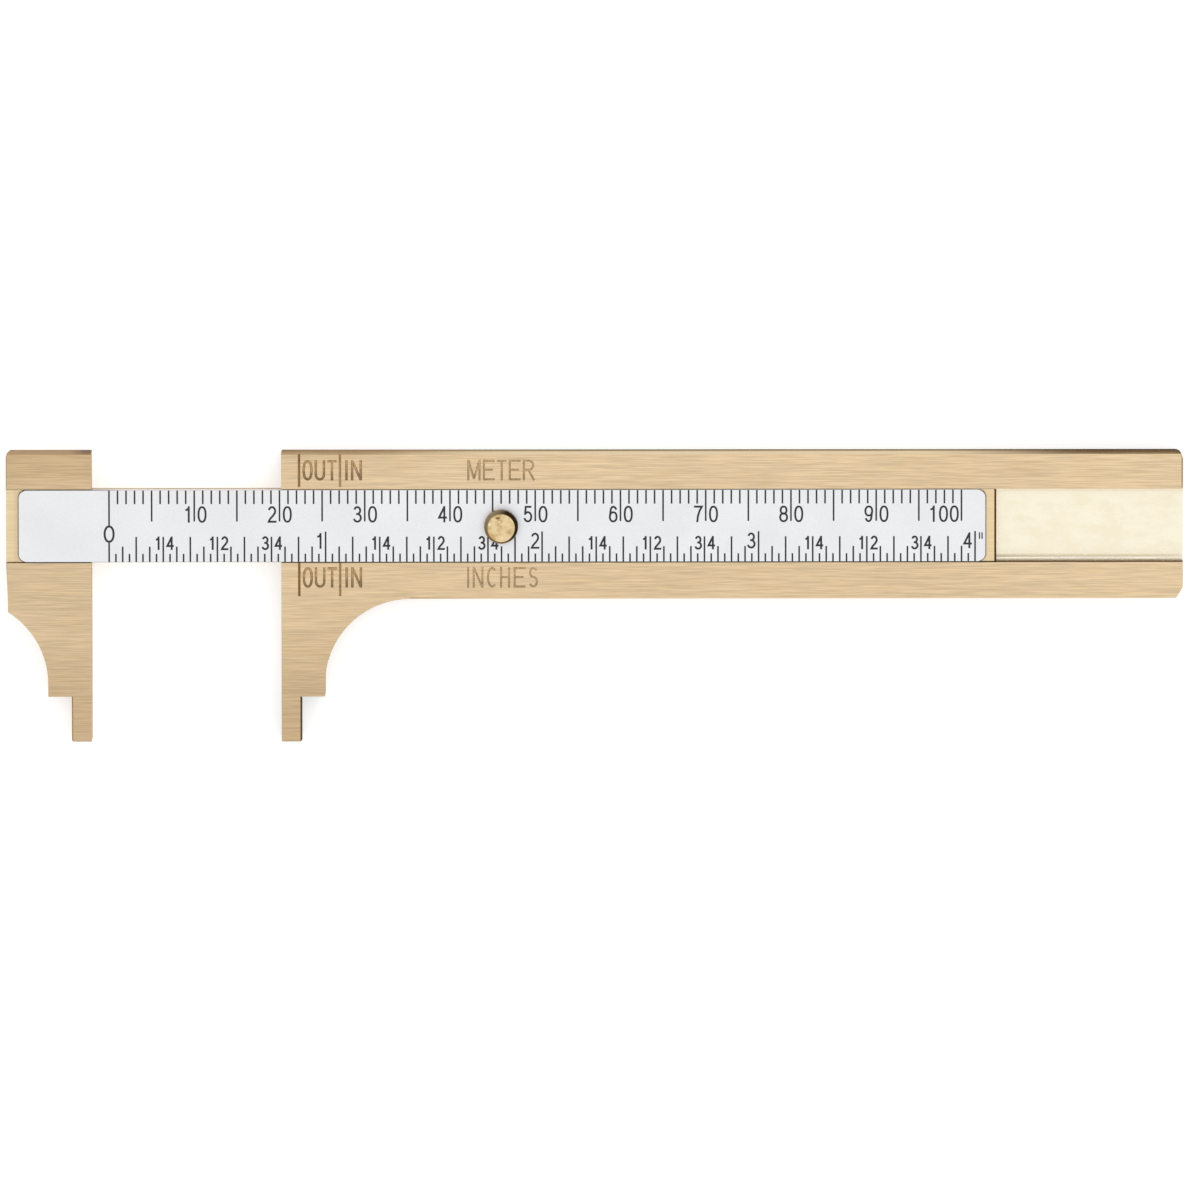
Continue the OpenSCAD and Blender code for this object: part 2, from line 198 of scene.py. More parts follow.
class Paint:
    """A Principled material in the making, with the piece's own coordinates in millimetres."""

    def __init__(self, name, metallic, roughness):
        self.material = bpy.data.materials.new(name)
        self.material.use_nodes = True
        self.nodes = self.material.node_tree.nodes
        self.links = self.material.node_tree.links
        self.shader = self.nodes["Principled BSDF"]
        self.shader.inputs["Metallic"].default_value = metallic
        self.shader.inputs["Roughness"].default_value = roughness
        self.coords = self.nodes.new("ShaderNodeTexCoord")
        scaled = self.nodes.new("ShaderNodeVectorMath")
        scaled.operation = "SCALE"
        scaled.inputs["Scale"].default_value = 1 / MM
        self.links.new(self.coords.outputs["Object"], scaled.inputs[0])
        self.place = scaled.outputs["Vector"]
        self.x, self.y, self.z = self.split(self.place)

    def feed(self, socket, value):
        if isinstance(value, (int, float)):
            socket.default_value = value
        elif isinstance(value, tuple):
            socket.default_value = (*value, 1)
        else:
            self.links.new(value, socket)

    def split(self, vector):
        node = self.nodes.new("ShaderNodeSeparateXYZ")
        self.links.new(vector, node.inputs["Vector"])
        return node.outputs["X"], node.outputs["Y"], node.outputs["Z"]

    def maths(self, kind, a, b=0.0):
        node = self.nodes.new("ShaderNodeMath")
        node.operation = kind
        self.feed(node.inputs[0], a)
        self.feed(node.inputs[1], b)
        return node.outputs["Value"]

    def ramp(self, value, low, high, out_low=0.0, out_high=1.0):
        """Maps low..high to out_low..out_high with soft ends."""
        node = self.nodes.new("ShaderNodeMapRange")
        node.interpolation_type = "SMOOTHSTEP"
        ends = {"From Min": low, "From Max": high, "To Min": out_low, "To Max": out_high}
        for name, number in ends.items():
            node.inputs[name].default_value = number
        self.links.new(value, node.inputs["Value"])
        return node.outputs["Result"]

    def mix(self, factor, a, b, blend="MIX"):
        node = self.nodes.new("ShaderNodeMix")
        node.data_type = "RGBA"
        node.blend_type = blend
        for index, value in ((0, factor), (6, a), (7, b)):
            self.feed(node.inputs[index], value)
        return node.outputs[2]

    def grain(self, size, detail=2.0, rough=0.5, stretch=(1, 1, 1), shift=0.0):
        """Noise with blotches of about that size in millimetres, drawn out by stretch along each axis."""
        mapping = self.nodes.new("ShaderNodeMapping")
        mapping.inputs["Location"].default_value = (shift, shift, shift)
        mapping.inputs["Scale"].default_value = tuple(1 / s for s in stretch)
        self.links.new(self.place, mapping.inputs["Vector"])
        node = self.nodes.new("ShaderNodeTexNoise")
        node.inputs["Scale"].default_value = 0.5 / size
        node.inputs["Detail"].default_value = detail
        node.inputs["Roughness"].default_value = rough
        self.links.new(mapping.outputs["Vector"], node.inputs["Vector"])
        return node.outputs["Fac"]

    def squares(self, a, b):
        """The sum of two values' squares."""
        return self.maths("ADD", self.maths("MULTIPLY", a, a), self.maths("MULTIPLY", b, b))

    def blend(self, a, b, share):
        """A weighted sum of two values."""
        rest = self.maths("SUBTRACT", 1.0, share)
        return self.maths("ADD", self.maths("MULTIPLY", a, rest), self.maths("MULTIPLY", b, share))

    def facing_up(self, low, high):
        """1 where the surface faces straight up or down, 0 on the sides."""
        up = self.split(self.coords.outputs["Normal"])[2]
        return self.ramp(self.maths("ABSOLUTE", up), low, high)

    def facing_right(self):
        """1 where the surface faces along X, 0 where it doesn't."""
        return self.ramp(self.split(self.coords.outputs["Normal"])[0], 0.6, 0.95)

    def color(self, value):
        self.feed(self.shader.inputs["Base Color"], value)

    def roughness(self, value):
        self.feed(self.shader.inputs["Roughness"], value)

    def bump(self, height, depth, strength=1.0):
        """Bump whose full range of heights is depth in millimetres."""
        node = self.nodes.new("ShaderNodeBump")
        node.inputs["Strength"].default_value = strength
        node.inputs["Distance"].default_value = depth * MM
        self.links.new(height, node.inputs["Height"])
        self.links.new(node.outputs["Normal"], self.shader.inputs["Normal"])


def shade(color, share):
    return tuple(min(1.0, c * share) for c in color)


BRASS = (0.76, 0.585, 0.37)


def brushed_brass(name, face, wear, sides, streak=0.15, shift=0.0):
    """Brass with a face brushed along X; wear changes the face's colour and sides gives that of the sides,
    whose darker colour is painted shade.
    """
    paint = Paint(name, 1.0, 0.36)
    paint.shader.inputs["Specular IOR Level"].default_value = 0.05
    fine = paint.grain(0.05, 2, 0.6, (45, 1, 1), shift)
    broad = paint.grain(0.09, 2, 0.5, (32, 1, 1), shift + 7)
    streaks = paint.blend(fine, broad, 0.4)
    face_color = paint.mix(paint.ramp(streaks, 0.36, 0.64), shade(face, 1 - streak), shade(face, 1 + streak))
    gold = paint.ramp(paint.grain(0.4, 3, 0.6, (5, 1, 1), shift + 3), 0.5, 0.7, 0.0, 0.4)
    face_color = paint.mix(gold, face_color, (1.0, 0.96, 0.84), "MULTIPLY")
    clouds = paint.ramp(paint.grain(5, 2, 0.5, (2.5, 1, 1), shift), 0.35, 0.7)
    face_color = paint.mix(clouds, face_color, (0.955, 0.945, 0.935), "MULTIPLY")
    face_color = wear(paint, face_color)
    up = paint.facing_up(0.55, 0.97)
    paint.color(paint.mix(up, sides(paint), face_color))
    paint.feed(paint.shader.inputs["Metallic"], paint.maths("MAXIMUM", up, 0.04))
    gloss = paint.ramp(streaks, 0.3, 0.7, 0.3, 0.44)
    paint.roughness(paint.blend(0.7, gloss, up))
    paint.bump(streaks, 0.006, 0.5)
    return paint.material


def darker_foot(paint, color, share):
    """Painted shade on the sides: darker towards the back, in soft blotches."""
    blotches = paint.ramp(paint.grain(1.6, 3, 0.55, (4, 1, 1)), 0.3, 0.7)
    foot = paint.maths("ADD", paint.z, paint.maths("MULTIPLY", blotches, 0.6))
    return paint.mix(paint.ramp(foot, 2.3, 1.1), color, share, "MULTIPLY")


def beam_sides(paint):
    """Pale brass with painted shade: darker low on the sides, browner at the jaw's end, dark on the back edge
    near the plain end and on the nib; the plain end's face is pale.
    """
    # Painted shade: the sides darken towards the back, at the jaw's end, near the plain end and on the nib.
    color = paint.mix(paint.ramp(paint.z, 2.2, 3.4), (0.5, 0.37, 0.2), (0.95, 0.76, 0.5))
    color = paint.mix(paint.ramp(paint.x, 28, 8), color, (0.46, 0.3, 0.15))
    dark = paint.maths("MULTIPLY", paint.ramp(paint.x, 74, 96), paint.ramp(paint.y, 2, 6))
    color = paint.mix(dark, color, (0.15, 0.08, 0.022))
    plain_end = paint.maths("MULTIPLY", paint.facing_right(), paint.ramp(paint.x, 90, 95))
    color = paint.mix(plain_end, color, (0.85, 0.68, 0.46))
    color = darker_foot(paint, color, (0.46, 0.44, 0.36))
    return paint.mix(paint.ramp(paint.y, -19.6, -20.3), color, (0.07, 0.04, 0.018))


def jaw_sides(paint):
    """Brown painted shade on the sides, darker beside the opening, with a paler measuring face."""
    color = paint.mix(paint.ramp(paint.x, JAW_X - 3, JAW_X - 0.3), (0.52, 0.34, 0.18), (0.24, 0.155, 0.09))
    color = paint.mix(paint.facing_right(), color, (0.85, 0.7, 0.5))
    return darker_foot(paint, color, (0.75, 0.75, 0.75))


def beam_wear(paint, color):
    """The fixed jaw is browner towards its tip."""
    return paint.mix(paint.ramp(paint.y, -6.0, -24.0), color, (0.8, 0.77, 0.73), "MULTIPLY")


def jaw_wear(paint, color):
    """The moving jaw is browner at the top of its head and towards its tip."""
    color = paint.mix(paint.ramp(paint.y, 2.5, 7.0), color, (0.86, 0.82, 0.76), "MULTIPLY")
    return paint.mix(paint.ramp(paint.y, -6.0, -24.0), color, (0.87, 0.84, 0.8), "MULTIPLY")


def slide_brass():
    """Drawn brass of the slide bar, with painted shade beside the plate's end in the head and a painted
    shadow along the top of its free end.
    """
    paint = Paint("slide_brass", 1.0, 0.3)
    streaks = paint.ramp(paint.grain(0.1, 2, 0.5, (70, 1, 1), 57), 0.36, 0.64)
    color = paint.mix(streaks, (0.77, 0.6, 0.36), (0.87, 0.68, 0.42))
    # Painted shade: the bar is darker just beside the plate's end.
    edge = PLATE_LOW.x
    plate_edge_shade = paint.ramp(paint.x, edge - 0.8, edge - 0.2)
    plate_edge_shade = paint.maths("MULTIPLY", plate_edge_shade, paint.ramp(paint.x, edge + 1, edge))
    color = paint.mix(plate_edge_shade, color, (0.9, 0.9, 0.96), "MULTIPLY")
    # Painted shadow: a dark line along the top of the bar's free end.
    end_shadow = paint.ramp(paint.x, BAR_END - 0.3, BAR_END - 0.18)
    end_shadow = paint.maths("MULTIPLY", end_shadow, paint.ramp(paint.z, 3.1, 3.5))
    color = paint.mix(end_shadow, color, (0.09, 0.048, 0.013))
    side = paint.maths("GREATER_THAN", paint.maths("ABSOLUTE", paint.y), BAR_HALF - 0.01)
    paint.color(paint.mix(side, color, (0.62, 0.58, 0.51)))
    paint.roughness(paint.blend(0.24, 0.36, streaks))
    paint.bump(streaks, 0.004, 0.5)
    return paint.material


def channel_brass():
    """The channel's floor, polished bright by the slide, and its walls, the lower one dark above the rib with
    painted shade; painted light brightens the floor beside the lower rib and the rib's top, and painted shade
    darkens the rib's corner.
    """
    # Where each tone begins and where it is full, across the beam and then above the back.
    upper_side = (3.7, 4.2)
    beside_rib = (-3.65, -3.8)
    bare_metal = (-3.85, -3.7)
    on_rib = (-3.95, -4.15)
    rib_corner = (-4.21, -4.31)
    under_rib = (2.0, 2.5)
    above_rib = (3.0, 3.2)
    paint = Paint("channel_brass", 1.0, 0.22)
    paint.shader.inputs["Specular IOR Level"].default_value = 0.05
    mottle = paint.grain(0.9, 4, 0.65, (1.6, 1, 1))
    floor = paint.mix(paint.ramp(mottle, 0.35, 0.65), (0.92, 0.84, 0.645), (0.97, 0.905, 0.73))
    floor = paint.mix(paint.ramp(paint.y, *upper_side), floor, (0.9, 0.78, 0.55))
    # Painted light: the floor beside the lower rib and the rib's top are painted brighter against the rib's
    # shade.
    floor = paint.mix(paint.ramp(paint.y, *beside_rib), floor, (1.0, 0.94, 0.78))
    floor = paint.mix(paint.ramp(paint.y, *on_rib), floor, (0.98, 0.87, 0.64))
    # Painted shade: the rib's corner at the lower wall is dark.
    floor = paint.mix(paint.ramp(paint.y, *rib_corner), floor, (0.35, 0.21, 0.08))
    # Painted shade on the walls above the rib: nearly black on the lower wall, paler brown on the upper one.
    wall_shade = paint.mix(paint.maths("GREATER_THAN", paint.y, 0.0), (0.09, 0.045, 0.012), (0.56, 0.42, 0.24))
    wall = paint.mix(paint.ramp(paint.z, *above_rib), (1.0, 0.94, 0.78), wall_shade)
    up = paint.facing_up(0.6, 0.97)
    paint.color(paint.mix(up, wall, floor))
    open_floor = paint.maths("MAXIMUM", paint.ramp(paint.y, *bare_metal), paint.ramp(paint.z, *under_rib))
    bare = paint.maths("MULTIPLY", up, open_floor)
    paint.feed(paint.shader.inputs["Metallic"], bare)
    paint.roughness(paint.blend(0.6, paint.ramp(mottle, 0.3, 0.7, 0.18, 0.3), bare))
    paint.bump(paint.grain(0.25, 3, 0.5, (10, 1, 1)), 0.003, 0.4)
    return paint.material


def patina(name, dark, light, foot):
    """Brown patina that stays in cut lines and letters, darker towards a letter's foot by the share foot."""
    paint = Paint(name, 0.6, 0.5)
    mottle = paint.grain(0.12, 3, 0.6)
    color = paint.mix(paint.ramp(mottle, 0.3, 0.7), dark, light)
    above = paint.maths("SUBTRACT", paint.y, UPPER_WORDS_Y)
    height = paint.maths("FLOORED_MODULO", above, UPPER_WORDS_Y - LOWER_WORDS_Y)
    paint.color(paint.mix(paint.ramp(height, 1.7, 0.3), color, shade((1, 1, 1), foot), "MULTIPLY"))
    return paint.material


def index_patina():
    """Tarnish in the index lines, paler in the inside ones."""
    paint = Paint("line_patina", 0.6, 0.5)
    mottle = paint.ramp(paint.grain(0.15, 3, 0.6), 0.3, 0.7)
    outside = paint.mix(mottle, (0.36, 0.22, 0.095), (0.5, 0.33, 0.155))
    inside = paint.mix(mottle, (0.48, 0.32, 0.165), (0.64, 0.46, 0.27))
    paint.color(paint.mix(paint.ramp(paint.x, 4.0, 5.0), outside, inside))
    return paint.material


def satin_paint(name, roughness, size=0.08):
    """A fine-grained metal without its colour."""
    paint = Paint(name, 1.0, roughness)
    fine = paint.grain(size, 3, 0.6)
    paint.roughness(paint.ramp(fine, 0.3, 0.7, roughness - 0.05, roughness + 0.05))
    paint.bump(fine, 0.004, 0.5)
    return paint


def satin_color(paint, color, speckle, size=0.08):
    """A colour that varies a little, as speckle tells, in fine grains and in clouds."""
    mixed = paint.blend(paint.grain(size, 3, 0.6), paint.grain(3.0, 2, 0.5), 0.35)
    return paint.mix(paint.ramp(mixed, 0.3, 0.7), shade(color, 1 - speckle), shade(color, 1 + speckle))


def satin_metal(name, color, roughness, speckle, size=0.08):
    """A fine-grained satin metal."""
    paint = satin_paint(name, roughness, size)
    paint.color(satin_color(paint, color, speckle, size))
    return paint.material


def plate_face():
    """Satin anodised metal, with painted shade in a dark line at the outline of the plate's two ends."""
    paint = satin_paint("satin_plate", 0.42)
    color = satin_color(paint, (0.85, 0.857, 0.872), 0.05)
    middle, half = (PLATE_HIGH + PLATE_LOW) / 2, (PLATE_HIGH - PLATE_LOW) / 2
    past = []
    for place, centre, reach in ((paint.x, middle.x, half.x), (paint.y, middle.y, half.y)):
        off = paint.maths("ABSOLUTE", paint.maths("SUBTRACT", place, centre))
        past.append(paint.maths("MAXIMUM", paint.maths("SUBTRACT", off, reach - PLATE_RADIUS), 0.0))
    out = paint.maths("SQRT", paint.squares(*past))
    # Painted shade: a dark line just inside the outline of the plate's two ends.
    end = paint.ramp(out, PLATE_RADIUS - 0.13, PLATE_RADIUS - 0.07)
    end = paint.maths("MULTIPLY", end, paint.ramp(past[0], 0.0, 0.3))
    paint.color(paint.mix(end, color, (0.2, 0.185, 0.165)))
    return paint.material


def plate_rim():
    """The plate's sheared rim, painted dark as shade of the gap around the plate, but pale along its upper
    edge outside the moving jaw, where no shade is painted.
    """
    paint = Paint("plate_rim", 0.5, 0.5)
    # Painted shade: the rim is dark all round, as the shade of the gap beside the plate.
    dark = paint.mix(paint.ramp(paint.grain(0.3, 3), 0.3, 0.7), (0.05, 0.047, 0.043), (0.16, 0.155, 0.15))
    unshaded_edge = paint.ramp(paint.x, JAW_X + 1.0, JAW_X + 4.0)
    unshaded_edge = paint.maths("MULTIPLY", unshaded_edge, paint.ramp(paint.y, BAR_HALF - 0.2, BAR_HALF - 0.1))
    paint.color(paint.mix(unshaded_edge, dark, (0.68, 0.66, 0.63)))
    return paint.material


def printing_ink():
    paint = Paint("ink", 0.0, 0.5)
    mottle = paint.ramp(paint.grain(0.06, 2), 0.3, 0.7)
    paint.color(paint.mix(mottle, (0.006, 0.006, 0.008), (0.022, 0.022, 0.026)))
    return paint.material


def matte_film():
    paint = Paint("adhesive_film", 0.0, 0.8)
    paint.color(paint.mix(paint.grain(0.4, 3), (0.2, 0.185, 0.15), (0.33, 0.31, 0.26)))
    return paint.material


def button_brass():
    """A dented, worn gold face, with a rim painted dark brown at the upper right and paler at the lower left,
    as painted shade.
    """
    paint = Paint("button_brass", 1.0, 0.2)
    mottle = paint.grain(0.7, 4, 0.6)
    face = paint.mix(paint.ramp(mottle, 0.36, 0.6), (0.55, 0.37, 0.16), (0.81, 0.63, 0.36))
    pale = paint.ramp(paint.grain(0.35, 3, 0.5, (1, 1, 1), 11), 0.6, 0.72)
    face = paint.mix(pale, face, (0.98, 0.86, 0.6))
    centre_x = (BUTTON_LOW.x + BUTTON_HIGH.x) / 2
    nick_at, nick_reach = (centre_x - 0.4, 1.05), (0.32, 0.16)
    nick = paint.squares(*[paint.maths("DIVIDE", paint.maths("SUBTRACT", place, at), reach)
                           for place, at, reach in zip((paint.x, paint.y), nick_at, nick_reach)])
    face = paint.mix(paint.ramp(nick, 1.2, 0.3), face, (0.26, 0.15, 0.05))
    # Painted shade: the rim is darkest at the upper right and paler at the lower left and upper left.
    from_centre = paint.maths("SUBTRACT", paint.x, centre_x)
    upper_right = paint.maths("ADD", from_centre, paint.y)
    rim = paint.mix(paint.ramp(upper_right, -2.8, 0.8), (0.3, 0.18, 0.075), (0.035, 0.018, 0.007))
    upper_left = paint.maths("SUBTRACT", paint.y, from_centre)
    rim = paint.mix(paint.ramp(upper_left, 0.9, 2.6), rim, (0.34, 0.25, 0.14))
    paint.color(paint.mix(paint.facing_up(0.955, 0.995), rim, face))
    paint.roughness(paint.ramp(mottle, 0.3, 0.7, 0.14, 0.32))
    paint.bump(paint.grain(0.3, 3, 0.6), 0.03, 0.7)
    return paint.material


def floor_white():
    """A white floor that keeps soft shadows: its unshadowed part comes out just white."""
    paint = Paint("floor_white", 0.0, 0.9)
    paint.shader.inputs["Specular IOR Level"].default_value = 0.0
    paint.color(paint.mix(paint.grain(40, 2), (0.86, 0.86, 0.86), (0.88, 0.88, 0.88)))
    rays = paint.nodes.new("ShaderNodeLightPath")
    seen = paint.maths("MAXIMUM", rays.outputs["Is Camera Ray"], rays.outputs["Is Glossy Ray"])
    seen = paint.maths("MAXIMUM", seen, rays.outputs["Is Transmission Ray"])
    paint.shader.inputs["Emission Color"].default_value = (1, 1, 1, 1)
    paint.feed(paint.shader.inputs["Emission Strength"], paint.maths("MULTIPLY", seen, 0.5))
    return paint.material


def sweep(bm, points, section):
    """Sweeps a closed section of (offset, height) pairs along a flat path, which may close on itself."""
    mitre_limit = 0.45
    path = [Vector(p) for p in points]
    closed = (path[0] - path[-1]).length < 1e-6
    if closed:
        path = path[:-1]
    count = len(path)
    rings = []
    for i, point in enumerate(path):
        before = (point - path[i - 1]).normalized() if closed or i else None
        after = (path[(i + 1) % count] - point).normalized() if closed or i < count - 1 else before
        before = before or after
        middle = (before + after).normalized()
        side = Vector((-middle.y, middle.x)) / max(middle.dot(after), mitre_limit)
        rings.append([bm.verts.new((*(point + side * offset), height)) for offset, height in section])
    size = len(section)
    for i in range(count if closed else count - 1):
        one, two = rings[i], rings[(i + 1) % count]
        for k in range(size):
            bm.faces.new((one[k], two[k], two[(k + 1) % size], one[(k + 1) % size]))
    if not closed:
        bm.faces.new(rings[0])
        bm.faces.new(rings[-1][::-1])


def ink_section(stroke):
    """Ink that lies on the plate."""
    low, high = PLATE_HIGH.z - LINE_DEPTH / 4, PLATE_HIGH.z + INK_ABOVE
    return [(-stroke / 2, low), (stroke / 2, low), (stroke / 2, high), (-stroke / 2, high)]


def stamp_section(stroke, depth):
    """A stamped stroke: sloping walls down to a narrow flat."""
    slope = 0.3 * stroke
    floor, above = FACE_Z - depth, FACE_Z + 1
    return [(-stroke / 2 + slope, floor), (stroke / 2 - slope, floor), (stroke / 2, FACE_Z),
            (stroke / 2, above), (-stroke / 2, above), (-stroke / 2, FACE_Z)]


def write(layers, text, x, y, height, stroke, section, width=None, to_left=False):
    """Draws text from x, or up to x, with its foot at y; a given width spreads its letters over that width.
    Each glyph's strokes go to the layers in turn, so that crossing strokes are in separate meshes."""
    unit = height - stroke
    total = sum(GLYPHS[c][0] * unit + stroke for c in text)
    gap = (width - total) / (len(text) - 1) if width else ZEROS_GAP
    if to_left:
        x -= total + gap * (len(text) - 1)
    for c in text:
        glyph_width, strokes = GLYPHS[c]
        for layer, line in zip(layers, strokes):
            points = [(x + stroke / 2 + px * unit, y + stroke / 2 + py * unit) for px, py in line]
            sweep(layer, points, section)
        x += glyph_width * unit + stroke + gap


def box_in(bm, low, high):
    """A plain closed block between two corners, for the ink in one etched line."""
    made = bmesh.ops.create_cube(bm, size=1)
    size = Vector(high) - Vector(low)
    middle = (Vector(high) + Vector(low)) / 2
    for vert in made["verts"]:
        vert.co = middle + Vector(a * b for a, b in zip(vert.co, size))


def to_object(name, bm, *materials):
    """A new object from bm, in millimetres until it is finished."""
    bmesh.ops.recalc_face_normals(bm, faces=bm.faces)
    mesh = bpy.data.meshes.new(name)
    bm.to_mesh(mesh)
    bm.free()
    for material in materials:
        mesh.materials.append(material)
    piece = bpy.data.objects.new(name, mesh)
    bpy.context.scene.collection.objects.link(piece)
    return piece


def apply_modifiers(piece):
    shown = piece.evaluated_get(bpy.context.evaluated_depsgraph_get())
    mesh = bpy.data.meshes.new_from_object(shown)
    piece.modifiers.clear()
    piece.data = mesh


def combine(piece, other, operation, crossing=False):
    """Joins other to piece, or cuts it out of piece, and deletes it.
    With crossing, the strokes in one of them may cross each other."""
    boolean = piece.modifiers.new("combine", "BOOLEAN")
    boolean.operation = operation
    boolean.solver = "EXACT"
    boolean.use_self = crossing
    boolean.material_mode = "TRANSFER"
    boolean.object = other
    apply_modifiers(piece)
    bpy.data.objects.remove(other)


def finish(piece, body, angle=None):
    """Brings a piece to metres and onto its body; an angle shades the curved faces below it smooth."""
    piece.data.transform(Matrix.Scale(MM, 4))
    if angle:
        piece.data.shade_smooth()
        piece.data.set_sharp_from_angle(angle=math.radians(angle))
        for face in piece.data.polygons:
            face.use_smooth = abs(face.normal.z) < FLAT
    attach(piece, body)
    return piece


def node_mesh(node):
    """A node's mesh in millimetres, with its flat faces whole."""
    bm = bmesh.new()
    bm.from_mesh(NODES[node].data)
    bmesh.ops.scale(bm, vec=(1 / MM, 1 / MM, 1 / MM), verts=bm.verts)
    bmesh.ops.remove_doubles(bm, verts=bm.verts, dist=1e-4)
    bmesh.ops.dissolve_limit(bm, angle_limit=math.radians(0.3), verts=bm.verts, edges=bm.edges)
    for face in bm.faces:
        face.material_index = 0
    return bm


def round_edges(bm, edges, width):
    bmesh.ops.bevel(bm, geom=edges, offset=width, segments=2, profile=0.6, affect="EDGES", clamp_overlap=True)


def rounded_copy(node, name, materials, width=EDGE_ROUND, keep=None):
    """A copy of a node's mesh with its sharp edges rounded, apart from those at a point that keep picks."""
    bm = node_mesh(node)
    edges = [e for e in bm.edges if e.is_manifold and e.calc_face_angle() > CREASE]
    if keep:
        edges = [e for e in edges if not any(keep(v.co) for v in e.verts)]
    round_edges(bm, edges, width)
    return to_object(name, bm, *materials)


def paint_faces(piece, index, rule):
    """Gives the faces that a rule picks by centre and normal the material with that index."""
    for face in piece.data.polygons:
        if rule(face.center, face.normal):
            face.material_index = index


def in_channel(centre, normal):
    across = BAR_HALF + 0.1
    inside = abs(centre.y) < across and POCKET_Z - 0.05 < centre.z < FACE_Z - EDGE_ROUND
    return inside and abs(normal.x) < 0.5


def on_plate_edge(point, reach=TINY):
    """Whether a point is within reach of the scale plate's outline, whose corners are made of chords."""
    chord = 0.01
    inside_x = PLATE_RADIUS - min(point.x - PLATE_LOW.x, PLATE_HIGH.x - point.x)
    inside_y = PLATE_RADIUS - min(point.y - PLATE_LOW.y, PLATE_HIGH.y - point.y)
    if inside_x > 0 and inside_y > 0:
        return math.hypot(inside_x, inside_y) > PLATE_RADIUS - reach - chord
    return max(inside_x, inside_y) > PLATE_RADIUS - reach


def at_index_line(point):
    near = min(abs(point.x - at) for at in INDEX_AT) < INDEX_W / 2 + TINY
    return near and point.z > FACE_Z - INDEX_DEPTH - TINY and abs(point.y) > BAR_HALF


def in_index_line(centre, normal):
    return at_index_line(centre) and abs(normal.z) < 0.95


def lettering(name, material, draw):
    """What draw writes on its layers, as one closed mesh."""
    layers = [bmesh.new() for _ in range(4)]
    draw(layers)
    written, *others = [to_object(name, layer, material) for layer in layers if len(layer.verts)]
    for other in others:
        combine(written, other, "UNION", True)
    return written


def stamp(piece, words, material, stroke, depth):
    """Cuts words, as (text, left, right, foot), into a piece's face."""

    def draw(layers):
        for text, left, right, foot in words:
            write(layers, text, left, foot, WORD_H, stroke, stamp_section(stroke, depth), width=right - left)

    combine(piece, lettering("cutter", material, draw), "DIFFERENCE")


def make_beam():
    bold = patina("dark_patina", (0.44, 0.27, 0.115), (0.69, 0.48, 0.26), 0.6)
    faint = patina("light_patina", (0.46, 0.31, 0.15), (0.7, 0.52, 0.3), 0.8)
    face = brushed_brass("brushed_brass", BRASS, beam_wear, beam_sides)
    beam = rounded_copy("beam", "beam_finish", [face, channel_brass(), index_patina()], keep=at_index_line)
    paint_faces(beam, 1, in_channel)
    paint_faces(beam, 2, in_index_line)
    rows = (UPPER_WORDS_Y, LOWER_WORDS_Y)
    words = [(text, *ends, row) for text, ends in BOLD_WORDS.items() for row in rows]
    stamp(beam, words, bold, BOLD_STROKE, BOLD_DEPTH)
    words = [(text, *place) for text, place in FAINT_WORDS.items()]
    stamp(beam, words, faint, FAINT_STROKE, FAINT_DEPTH)
    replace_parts(finish(beam, "beam_body", 12), "beam")


def make_jaw():
    face = brushed_brass("jaw_brass", shade(BRASS, 0.94), jaw_wear, jaw_sides, shift=31)
    jaw = rounded_copy("moving_jaw", "moving_jaw_finish", [face])
    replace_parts(finish(jaw, "slide", 12), "moving_jaw")


def make_bar():
    bar = rounded_copy("slide_bar", "slide_bar_finish", [slide_brass()])
    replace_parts(finish(bar, "slide", 12), "slide_bar")


def make_plate(face):
    """The scale plate with its sheared rim."""
    bm = node_mesh("scale_plate")
    rim = [e for e in bm.edges if e.is_manifold and e.calc_face_angle() > CREASE
           and all(v.co.z > PLATE_HIGH.z - TINY and on_plate_edge(v.co) for v in e.verts)]
    round_edges(bm, rim, PLATE_ROUND)
    plate = to_object("scale_plate_finish", bm, face, plate_rim())
    paint_faces(plate, 1, lambda centre, normal: normal.z < FLAT and on_plate_edge(centre, PLATE_ROUND))
    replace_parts(finish(plate, "slide", 12), "scale_plate")


def make_lines(ink):
    """Ink in the plate's etched lines, a little below its face."""
    low, high = PLATE_HIGH.z - LINE_DEPTH, PLATE_HIGH.z - INK_BELOW
    half = LINE_W / 2 - LINE_CLEAR

    def line(bm, at, start, end):
        x = ZERO_X + at
        box_in(bm, (x - half, start + LINE_CLEAR, low), (x + half, end - LINE_CLEAR, high))

    metric, inches = bmesh.new(), bmesh.new()
    line(metric, 0, ZERO_TOP, LINE_EDGE)
    line(inches, 0, -LINE_EDGE, ZERO_TOP - ZERO_H)
    for at in range(1, METRIC_MAX + 1):
        line(metric, at, LINE_EDGE - (MM_LINE if at % 5 else CM_LINE), LINE_EDGE)
    for part in range(1, INCH_MAX * INCH_PARTS + 1):
        length = next(length for step, length in INCH_LINES.items() if part % step == 0)
        line(inches, part * INCH / INCH_PARTS, -LINE_EDGE, length - LINE_EDGE)
    for name, bm in (("metric_lines", metric), ("inch_lines", inches)):
        finish(to_object(name, bm, ink), "slide")


